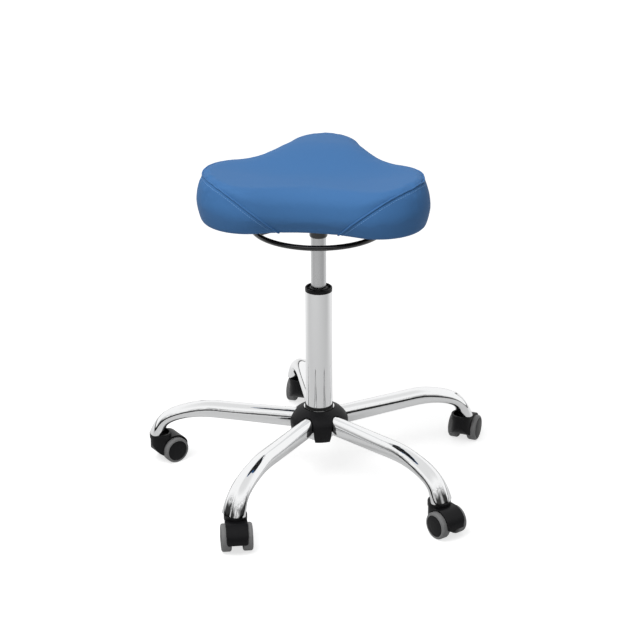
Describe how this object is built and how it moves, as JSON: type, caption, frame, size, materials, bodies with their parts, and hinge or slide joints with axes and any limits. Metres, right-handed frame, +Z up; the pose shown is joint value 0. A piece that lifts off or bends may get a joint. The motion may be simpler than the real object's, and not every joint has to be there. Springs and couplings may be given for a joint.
{
  "type": "adjustable swivel stool",
  "caption": "Adjustable swivel stool: padded saddle seat on a gas lift with a ring lever, over a chromed tube base on twin-wheel casters.",
  "frame": {"origin": "on the floor, under the axis of the column", "axes": "+Z up along the column; +Y towards the seat's raised pommel; the wide side of the seat faces -Y"},
  "size_m": [0.6284, 0.6926, 0.6323],
  "materials": {
    "chrome_tube": "polished",
    "hub_plastic": "satin moulded",
    "bush_plastic": "satin moulded",
    "black_rubber": "matt",
    "gland_plastic": "matt",
    "cylinder_coat": "satin grey",
    "plain_steel": "ground",
    "black_steel": "gloss black",
    "plywood": "raw",
    "lining_cloth": "non-woven",
    "blue_leatherette": "satin",
    "caster_plastic": "satin moulded",
    "grey_tread": "matt"
  },
  "bodies": {
    "base": {"arm_1": "chrome_tube", "arm_2": "chrome_tube", "arm_3": "chrome_tube", "arm_4": "chrome_tube", "arm_5": "chrome_tube", "stem_sockets": "chrome_tube", "hub_sleeve": "chrome_tube", "stand_tube": "chrome_tube", "hub_cover": "hub_plastic", "dust_ring": "black_rubber", "guide_bush": "bush_plastic", "bearing_lower_race": "plain_steel", "bearing_balls": "plain_steel", "caster_stems": "plain_steel", "grip_rings": "plain_steel"},
    "rod": {"piston_rod": "plain_steel", "bump_rubber": "black_rubber", "bearing_upper_race": "plain_steel", "retaining_clip": "plain_steel"},
    "lift": {"gas_cylinder": "cylinder_coat", "cylinder_gland": "gland_plastic", "seat_bracket": "black_steel", "seat_plate": "black_steel", "seat_board": "plywood", "board_nuts": "plain_steel", "seat_bolts": "plain_steel", "seat_cushion": "blue_leatherette", "underside_cover": "lining_cloth"},
    "valve_pin": {"valve_pin": "plain_steel"},
    "ring_lever": {"ring_lever": "black_steel"},
    "caster_1": {"caster_hood_1": "caster_plastic", "caster_axle_1": "plain_steel"},
    "wheel_1a": {"caster_wheel_a_1": "caster_plastic", "caster_tread_a_1": "grey_tread"},
    "wheel_1b": {"caster_wheel_b_1": "caster_plastic", "caster_tread_b_1": "grey_tread"},
    "caster_2": {"caster_hood_2": "caster_plastic", "caster_axle_2": "plain_steel"},
    "wheel_2a": {"caster_wheel_a_2": "caster_plastic", "caster_tread_a_2": "grey_tread"},
    "wheel_2b": {"caster_wheel_b_2": "caster_plastic", "caster_tread_b_2": "grey_tread"},
    "caster_3": {"caster_hood_3": "caster_plastic", "caster_axle_3": "plain_steel"},
    "wheel_3a": {"caster_wheel_a_3": "caster_plastic", "caster_tread_a_3": "grey_tread"},
    "wheel_3b": {"caster_wheel_b_3": "caster_plastic", "caster_tread_b_3": "grey_tread"},
    "caster_4": {"caster_hood_4": "caster_plastic", "caster_axle_4": "plain_steel"},
    "wheel_4a": {"caster_wheel_a_4": "caster_plastic", "caster_tread_a_4": "grey_tread"},
    "wheel_4b": {"caster_wheel_b_4": "caster_plastic", "caster_tread_b_4": "grey_tread"},
    "caster_5": {"caster_hood_5": "caster_plastic", "caster_axle_5": "plain_steel"},
    "wheel_5a": {"caster_wheel_a_5": "caster_plastic", "caster_tread_a_5": "grey_tread"},
    "wheel_5b": {"caster_wheel_b_5": "caster_plastic", "caster_tread_b_5": "grey_tread"}
  },
  "joints": [
    {"name": "seat_swivel", "type": "hinge", "parent": "base", "child": "rod", "pos_m": [0, 0, 0.0883], "axis": [0, 0, 1], "continuous": true},
    {"name": "height_lift", "type": "slide", "parent": "rod", "child": "lift", "axis": [0, 0, 1], "range_m": [-0.085, 0.095]},
    {"name": "ring_tilt", "type": "hinge", "parent": "lift", "child": "ring_lever", "pos_m": [0, 0.031, 0.5149], "axis": [1, 0, 0], "range_deg": [0, 6], "stiffness_Nm_per_rad": 8, "springref_deg": -2.86},
    {"name": "valve_press", "type": "slide", "parent": "lift", "child": "valve_pin", "axis": [0, 0, 1], "range_m": [-0.004, 0]},
    {"name": "caster_swivel_1", "type": "hinge", "parent": "base", "child": "caster_1", "pos_m": [-0.08023, 0.29944, 0.05], "axis": [0, 0, 1], "continuous": true},
    {"name": "wheel_roll_1a", "type": "hinge", "parent": "caster_1", "child": "wheel_1a", "pos_m": [-0.07731, 0.32023, 0.025], "axis": [-0.9903, 0.1392, 0], "continuous": true},
    {"name": "wheel_roll_1b", "type": "hinge", "parent": "caster_1", "child": "wheel_1b", "pos_m": [-0.07731, 0.32023, 0.025], "axis": [-0.9903, 0.1392, 0], "continuous": true},
    {"name": "caster_swivel_2", "type": "hinge", "parent": "base", "child": "caster_2", "pos_m": [-0.30957, 0.01622, 0.05], "axis": [0, 0, 1], "continuous": true},
    {"name": "wheel_roll_2a", "type": "hinge", "parent": "caster_2", "child": "wheel_2a", "pos_m": [-0.29397, 0.03028, 0.025], "axis": [-0.6691, 0.7431, 0], "continuous": true},
    {"name": "wheel_roll_2b", "type": "hinge", "parent": "caster_2", "child": "wheel_2b", "pos_m": [-0.29397, 0.03028, 0.025], "axis": [-0.6691, 0.7431, 0], "continuous": true},
    {"name": "caster_swivel_3", "type": "hinge", "parent": "base", "child": "caster_3", "pos_m": [-0.11109, -0.28941, 0.05], "axis": [0, 0, 1], "continuous": true},
    {"name": "wheel_roll_3a", "type": "hinge", "parent": "caster_3", "child": "wheel_3a", "pos_m": [-0.10601, -0.30979, 0.025], "axis": [0.9703, 0.2419, 0], "continuous": true},
    {"name": "wheel_roll_3b", "type": "hinge", "parent": "caster_3", "child": "wheel_3b", "pos_m": [-0.10601, -0.30979, 0.025], "axis": [0.9703, 0.2419, 0], "continuous": true},
    {"name": "caster_swivel_4", "type": "hinge", "parent": "base", "child": "caster_4", "pos_m": [0.24091, -0.19509, 0.05], "axis": [0, 0, 1], "continuous": true},
    {"name": "wheel_roll_4a", "type": "hinge", "parent": "caster_4", "child": "wheel_4a", "pos_m": [0.2555, -0.21019, 0.025], "axis": [0.7193, 0.6947, 0], "continuous": true},
    {"name": "wheel_roll_4b", "type": "hinge", "parent": "caster_4", "child": "wheel_4b", "pos_m": [0.2555, -0.21019, 0.025], "axis": [0.7193, 0.6947, 0], "continuous": true},
    {"name": "caster_swivel_5", "type": "hinge", "parent": "base", "child": "caster_5", "pos_m": [0.25999, 0.16884, 0.05], "axis": [0, 0, 1], "continuous": true},
    {"name": "wheel_roll_5a", "type": "hinge", "parent": "caster_5", "child": "wheel_5a", "pos_m": [0.26542, 0.18912, 0.025], "axis": [-0.9659, 0.2588, 0], "continuous": true},
    {"name": "wheel_roll_5b", "type": "hinge", "parent": "caster_5", "child": "wheel_5b", "pos_m": [0.26542, 0.18912, 0.025], "axis": [-0.9659, 0.2588, 0], "continuous": true}
  ],
  "couplings": [
    {"joint": "valve_press", "follows": "ring_tilt", "m_per_rad": -0.0335}
  ]
}
